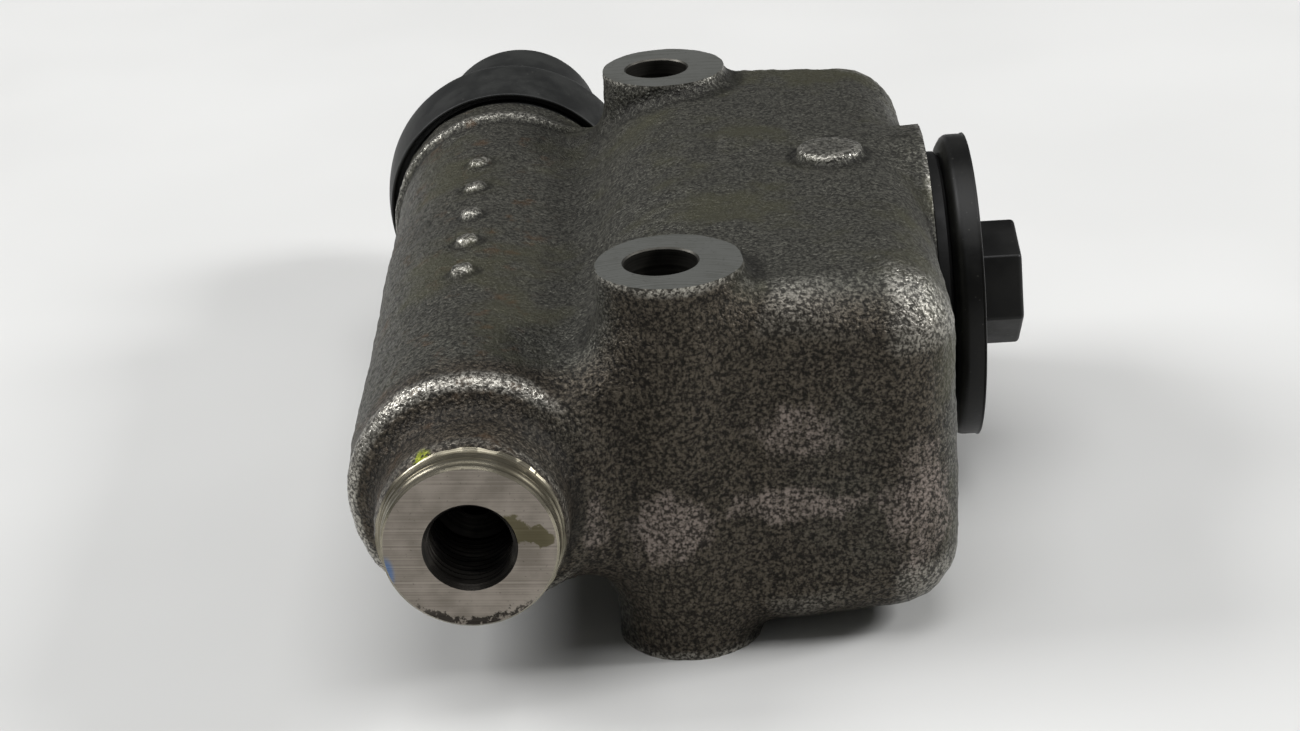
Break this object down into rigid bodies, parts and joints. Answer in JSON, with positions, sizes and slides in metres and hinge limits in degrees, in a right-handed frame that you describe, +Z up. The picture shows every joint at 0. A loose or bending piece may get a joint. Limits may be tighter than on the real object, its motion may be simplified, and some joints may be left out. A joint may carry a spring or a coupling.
{
  "type": "brake master cylinder",
  "caption": "Cast-iron hydraulic brake master cylinder with a side reservoir, screw-in filler cap, rubber dust boot and a sprung piston that pushes fluid out of a threaded outlet.",
  "frame": {"origin": "midway between the two mounting holes, on the plane of the lower boss faces that the part lies or is bolted on", "axes": "+Z up along the mounting bolts, +Y along the barrel from the outlet to the boot, +X out of the filler neck"},
  "size_m": [0.1064, 0.1885, 0.0572],
  "materials": {
    "cast_iron_body": "sand cast and bare, with milled boss faces and a turned outlet",
    "cap_nylon": "moulded, satin",
    "gasket_rubber": "cut from sheet, dull",
    "boot_rubber": "moulded, satin",
    "cup_rubber": "moulded, smooth",
    "plated_steel": "pressed and zinc plated",
    "spring_steel": "drawn and oiled",
    "piston_aluminium": "turned"
  },
  "bodies": {
    "casting": {"body_casting": "cast_iron_body", "dust_boot": "boot_rubber", "snap_ring": "spring_steel", "stop_washer": "plated_steel", "valve_seat": "cup_rubber", "return_spring": "spring_steel"},
    "piston_train": {"piston": "piston_aluminium", "secondary_cup": "cup_rubber", "port_washer": "spring_steel", "primary_cup": "cup_rubber", "spring_retainer": "plated_steel"},
    "check_valve": {"valve_cage": "plated_steel", "valve_cup": "cup_rubber"},
    "cap_seal": {"cap_gasket": "gasket_rubber"},
    "cap": {"filler_cap": "cap_nylon", "vent_baffle": "plated_steel"}
  },
  "joints": [
    {"name": "piston_stroke", "type": "slide", "parent": "casting", "child": "piston_train", "axis": [0, -1, 0], "range_m": [0, 0.025], "stiffness_N_per_m": 900, "springref_m": -0.04, "deforming": ["return_spring"]},
    {"name": "check_valve_lift", "type": "slide", "parent": "casting", "child": "check_valve", "axis": [0, 1, 0], "range_m": [0, 0.0012], "stiffness_N_per_m": 400, "springref_m": -0.01, "deforming": ["return_spring"]},
    {"name": "cap_lift", "type": "slide", "parent": "casting", "child": "cap_seal", "axis": [1, 0, 0], "range_m": [0, 0.01]},
    {"name": "cap_turn", "type": "hinge", "parent": "cap_seal", "child": "cap", "pos_m": [0.044, 0.0108, 0.0286], "axis": [1, 0, 0], "range_deg": [0, 1800]}
  ],
  "couplings": [
    {"joint": "cap_turn", "follows": "cap_lift", "rad_per_m": 3141.6}
  ]
}
